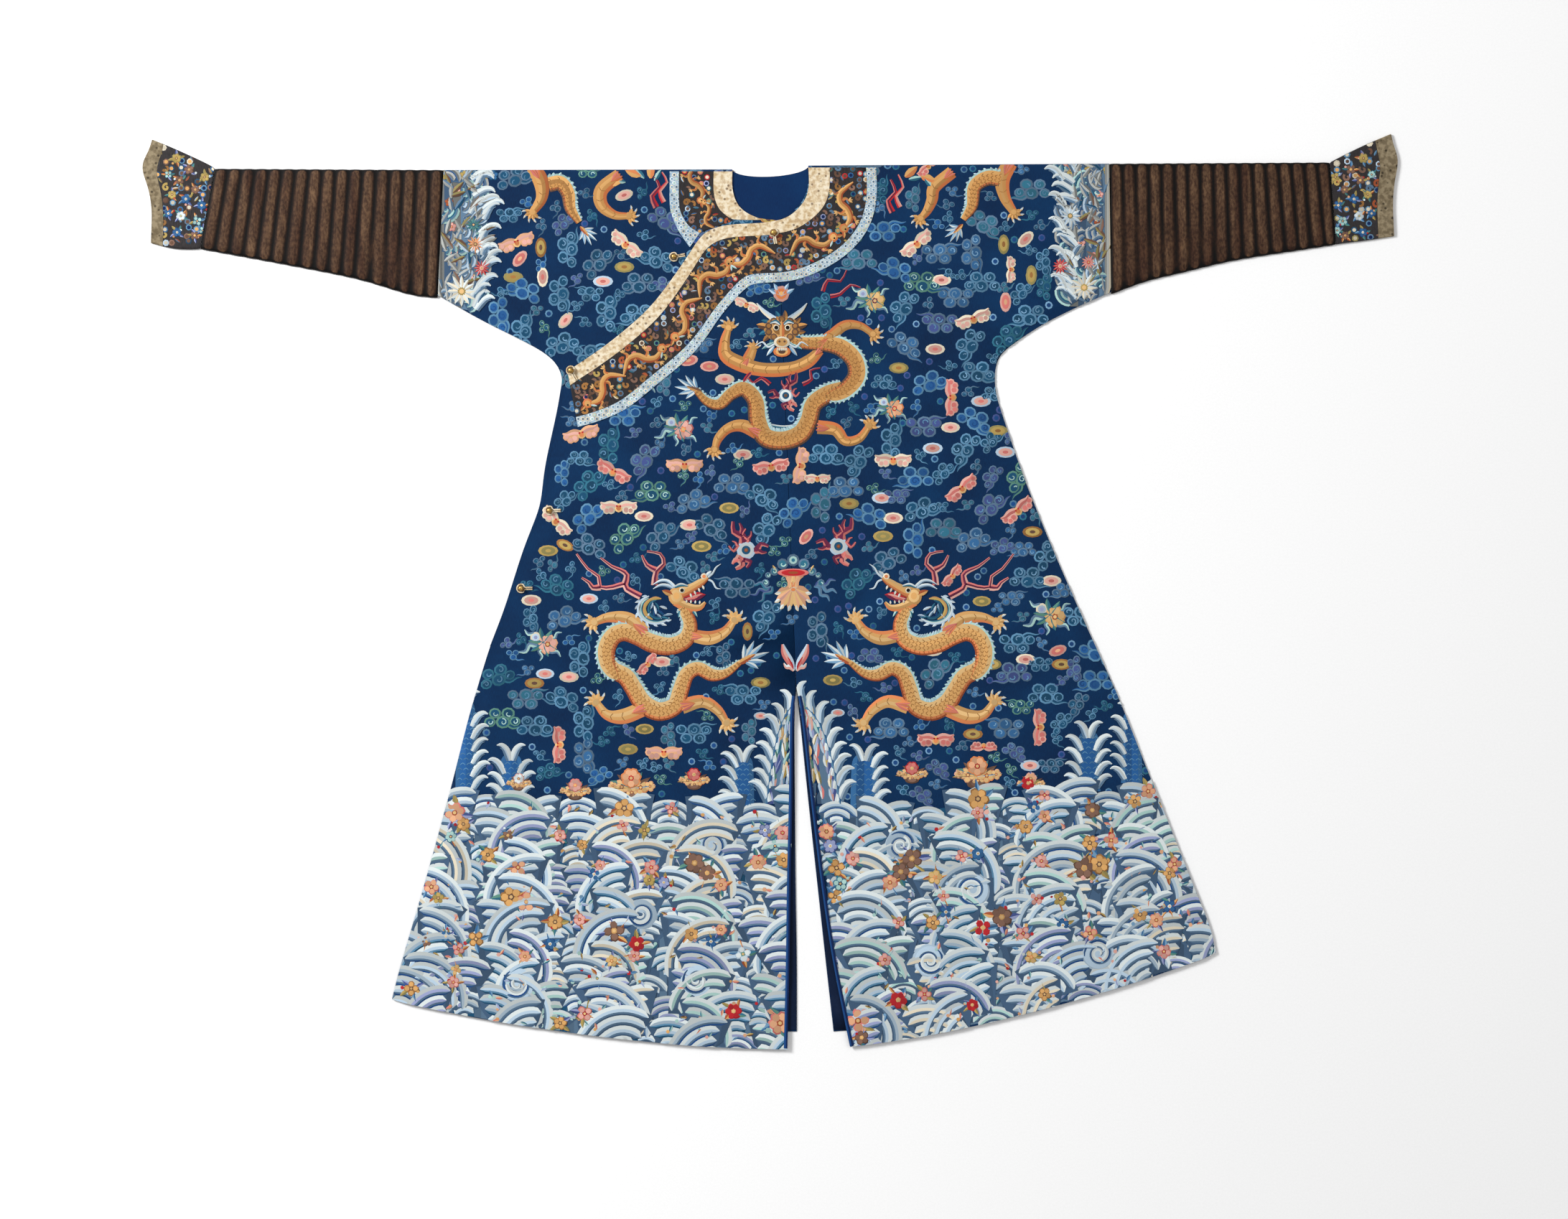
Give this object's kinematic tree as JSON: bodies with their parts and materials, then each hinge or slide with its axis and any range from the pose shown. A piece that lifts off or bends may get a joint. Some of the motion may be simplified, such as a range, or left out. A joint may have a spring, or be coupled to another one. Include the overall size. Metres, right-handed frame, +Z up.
{
  "type": "chinese dragon robe laid flat",
  "caption": "Long-sleeved side-closing silk robe with horse-hoof cuffs and embroidered dragons, clouds and wave border, laid flat with its front up.",
  "frame": {"origin": "middle of the robe's bounding box, on the surface that its back lies on", "axes": "+X across the sleeves to the wearer's left, +Y up the robe to the collar, +Z up from the surface out of the front"},
  "size_m": [2.0005, 1.458, 0.0171],
  "materials": {
    "blue_silk": "deep blue silk satin covered in multicoloured embroidery",
    "navy_lining": "plain smooth navy blue silk",
    "ribbed_brown": "ribbed brown silk with dark grooves",
    "black_satin": "black satin with gold and coloured embroidery",
    "gold_brocade": "pale gold brocade edging and cord",
    "pale_braid": "pale blue and white couched braid",
    "gilt": "gilt metal ball buttons"
  },
  "bodies": {
    "root": {"body_left": "blue_silk", "body_right": "blue_silk", "front_overlap": "blue_silk", "neck_lining": "navy_lining", "vent_lining_left": "navy_lining", "vent_lining_right": "navy_lining", "sleeve_left": "ribbed_brown", "sleeve_right": "ribbed_brown", "cuff_left": "black_satin", "cuff_right": "black_satin", "cuff_edge_left": "gold_brocade", "cuff_edge_right": "gold_brocade", "collar_overlap": "black_satin", "collar_under": "black_satin", "collar_back": "black_satin", "edging_overlap": "gold_brocade", "edging_under": "gold_brocade", "edging_back": "gold_brocade", "border_overlap": "pale_braid", "border_under": "pale_braid", "border_back": "pale_braid", "button_neck": "gilt", "loop_neck": "gold_brocade", "button_clavicle": "gilt", "loop_clavicle": "gold_brocade", "button_armpit": "gilt", "loop_armpit": "gold_brocade", "button_side_upper": "gilt", "loop_side_upper": "gold_brocade", "button_side_lower": "gilt", "loop_side_lower": "gold_brocade"}
  },
  "joints": []
}
